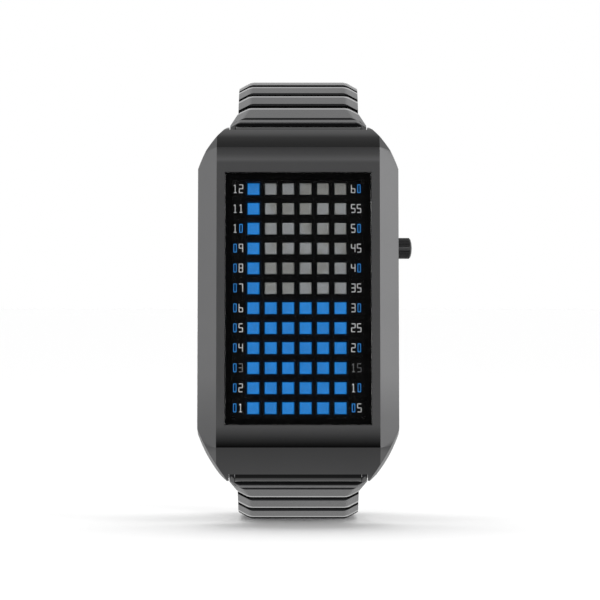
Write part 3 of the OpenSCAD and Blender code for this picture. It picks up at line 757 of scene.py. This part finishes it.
def numeral_lines(chosen):
    """Lines of the numbers beside the rows: hours on the left and minutes on the right."""
    points, edges = [], []
    for row in range(ROWS):
        left_to_go = ROWS - row
        for text, middle in ((f"{left_to_go:02d}", HOURS_AT),
                             (f"{left_to_go * MINUTES_A_ROW:02d}", MINUTES_AT)):
            for place, digit in enumerate(text):
                if not chosen(row, digit):
                    continue
                width = DIGIT_W * (ZERO_SHARE if digit == "0" else 1.0)
                left = middle + (place - 0.5) * DIGIT_PITCH - width / 2
                low = row_height(row) - DIGIT_H / 2
                for bar in DIGITS[digit]:
                    for u, v in BARS[bar]:
                        points.append((left + u * width, low + v * DIGIT_H / 2, 0.0))
                    edges.append((len(points) - 2, len(points) - 1))
    return lines_mesh(points, edges)


DIM_ROW = 9
for name, finish, chosen in (
    ("numerals_white", PRINT_WHITE_GLOW, lambda row, digit: digit != "0" and row != DIM_ROW),
    ("numerals_dim", PRINT_DIM, lambda row, digit: digit != "0" and row == DIM_ROW),
    ("numerals_blue", PRINT_BLUE_GLOW, lambda row, digit: digit == "0"),
):
    strokes = grown(
        STROKES, numeral_lines(chosen), case_matrix(inward=MASK_FRONT - STROKE_RISE / 2),
        Width=STROKE_W, Rise=STROKE_RISE, Finish=finish.material,
    )
    add_piece(name, strokes, "case")


def frame_mesh(outer, inner, thickness):
    """A flat rectangular ring, its front at height 0."""
    work = bmesh.new()
    rings = []
    for z in (0.0, -thickness):
        for width, length in (outer, inner):
            corners = ((-1, -1), (1, -1), (1, 1), (-1, 1))
            rings.append([
                work.verts.new((x * width / 2, y * length / 2, z)) for x, y in corners
            ])
    for first, second in ((0, 1), (1, 3), (3, 2), (2, 0)):
        for n in range(4):
            m = (n + 1) % 4
            corners = rings[first][n], rings[first][m], rings[second][m], rings[second][n]
            work.faces.new(corners)
    bmesh.ops.recalc_face_normals(work, faces=work.faces)
    mesh = bpy.data.meshes.new("border")
    work.to_mesh(mesh)
    work.free()
    return mesh


# The black border printed inside the crystal, over the ledge and its gasket
BORDER_GAP, BORDER_T, BORDER_LAP, BORDER_ROOM = 0.05, 0.02, 0.15, 0.14
outer = (WINDOW_W - BORDER_ROOM, WINDOW_LEN - BORDER_ROOM)
inner = (WINDOW_W - 2 * (LEDGE_W + BORDER_LAP), WINDOW_LEN - 2 * (LEDGE_W + BORDER_LAP))
border = frame_mesh(outer, inner, BORDER_T)
border.transform(case_matrix(inward=CRYSTAL_BACK - BORDER_GAP))
add_piece("crystal_border", border, "case", FINISHES["mask"])

# ---- Stage, light and camera


def stage_plane(name, size, place, turn, material, seen=True):
    bpy.ops.mesh.primitive_plane_add(size=1.0, location=place, rotation=turn)
    plane = bpy.context.object
    plane.name = name
    plane.scale = (size[0], size[1], 1.0)
    plane.data.materials.append(material)
    plane.visible_camera = seen


def light_path(tree, *rays):
    """1 for rays of the given kinds and 0 for all others."""
    path = tree.nodes.new("ShaderNodeLightPath")
    seen = path.outputs[rays[0]]
    for ray in rays[1:]:
        either = tree.nodes.new("ShaderNodeMath")
        either.operation = "MAXIMUM"
        tree.links.new(seen, either.inputs[0])
        tree.links.new(path.outputs[ray], either.inputs[1])
        seen = either.outputs[0]
    return seen


def floor_material():
    """A pale floor that keeps the shadow, and that metal and glass mirror as plain white."""
    material = bpy.data.materials.new("floor_white")
    material.use_nodes = True
    tree = material.node_tree
    tree.nodes.clear()
    matte = tree.nodes.new("ShaderNodeBsdfDiffuse")
    matte.inputs["Color"].default_value = (0.9, 0.9, 0.9, 1)
    white = tree.nodes.new("ShaderNodeEmission")
    pick = tree.nodes.new("ShaderNodeMixShader")
    out = tree.nodes.new("ShaderNodeOutputMaterial")
    link = tree.links.new
    link(light_path(tree, "Is Glossy Ray", "Is Transmission Ray"), pick.inputs[0])
    link(matte.outputs[0], pick.inputs[1])
    link(white.outputs[0], pick.inputs[2])
    link(pick.outputs[0], out.inputs["Surface"])
    return material


def card_material():
    material = bpy.data.materials.new("card_dark")
    material.use_nodes = True
    shader = material.node_tree.nodes["Principled BSDF"]
    shader.inputs["Base Color"].default_value = (0.02, 0.02, 0.02, 1)
    shader.inputs["Roughness"].default_value = 1.0
    return material


# The stage, in metres; the card is what the front of the case mirrors as dark
FLOOR_SIZE, CARD_SIZE, CARD_PLACE = (60, 60), (0.22, 0.26), (0, -0.95, 0.375)
stage_plane("floor", FLOOR_SIZE, (0, 0, 0), (0, 0, 0), floor_material())
stage_plane("dark_card", CARD_SIZE, CARD_PLACE, (math.radians(90), 0, 0),
            card_material(), seen=False)

WORLD_LIGHT, SUN_LIGHT = 0.44, 2.8
SUN_WIDTH, SUN_TILT, SUN_ROLL = math.radians(55), math.radians(-42), math.radians(-1.5)

world = bpy.data.worlds.new("studio")
world.use_nodes = True
scene.world = world
tree = world.node_tree
backdrop = tree.nodes["Background"]
seen = light_path(tree, "Is Camera Ray", "Is Glossy Ray", "Is Transmission Ray")
strength = tree.nodes.new("ShaderNodeMapRange")
strength.inputs["To Min"].default_value = WORLD_LIGHT
strength.inputs["To Max"].default_value = 1.0
tree.links.new(seen, strength.inputs["Value"])
tree.links.new(strength.outputs[0], backdrop.inputs["Strength"])
backdrop.inputs["Color"].default_value = (1, 1, 1, 1)

sun = bpy.data.lights.new("soft_key", "SUN")
sun.energy, sun.angle = SUN_LIGHT, SUN_WIDTH
key = bpy.data.objects.new("soft_key", sun)
key.rotation_euler = (SUN_TILT, SUN_ROLL, 0)
key.visible_glossy = False
scene.collection.objects.link(key)

# The softboxes, in metres
SOFTBOX_SIDE, SOFTBOX_AWAY, SOFTBOX_HEIGHT, SOFTBOX_SIZE = 0.75, 0.60, 0.45, 0.5
SOFTBOX_AIM = Vector((0, 0, 0.04))


def soft_lamp(name, side, power):
    """A square lamp in front, at the left (-1) or the right (1), turned to the watch."""
    lamp = bpy.data.lights.new(name, "AREA")
    lamp.shape, lamp.size, lamp.energy = "SQUARE", SOFTBOX_SIZE, power
    holder = bpy.data.objects.new(name, lamp)
    place = Vector((side * SOFTBOX_SIDE, -SOFTBOX_AWAY, SOFTBOX_HEIGHT))
    holder.location = place
    holder.rotation_euler = (SOFTBOX_AIM - place).to_track_quat("-Z", "Y").to_euler()
    scene.collection.objects.link(holder)


soft_lamp("left_softbox", -1, 1.0)
soft_lamp("right_softbox", 1, 2.4)

camera = bpy.data.objects.new("camera", bpy.data.cameras.new("camera"))
scene.collection.objects.link(camera)
DISTANCE, FRAME_WIDTH = 0.800, 0.0982
AIM_ACROSS, AIM_UP = 0.29 * MM, -0.33 * MM
camera.data.lens = camera.data.sensor_width * DISTANCE / FRAME_WIDTH
camera.data.clip_start, camera.data.clip_end = 0.01, 20
camera.location = (AIM_ACROSS, DIAL.y - DISTANCE, DIAL.z + AIM_UP)
camera.rotation_euler = (math.radians(90), 0, 0)
scene.camera = camera
scene.view_settings.view_transform = "Standard"
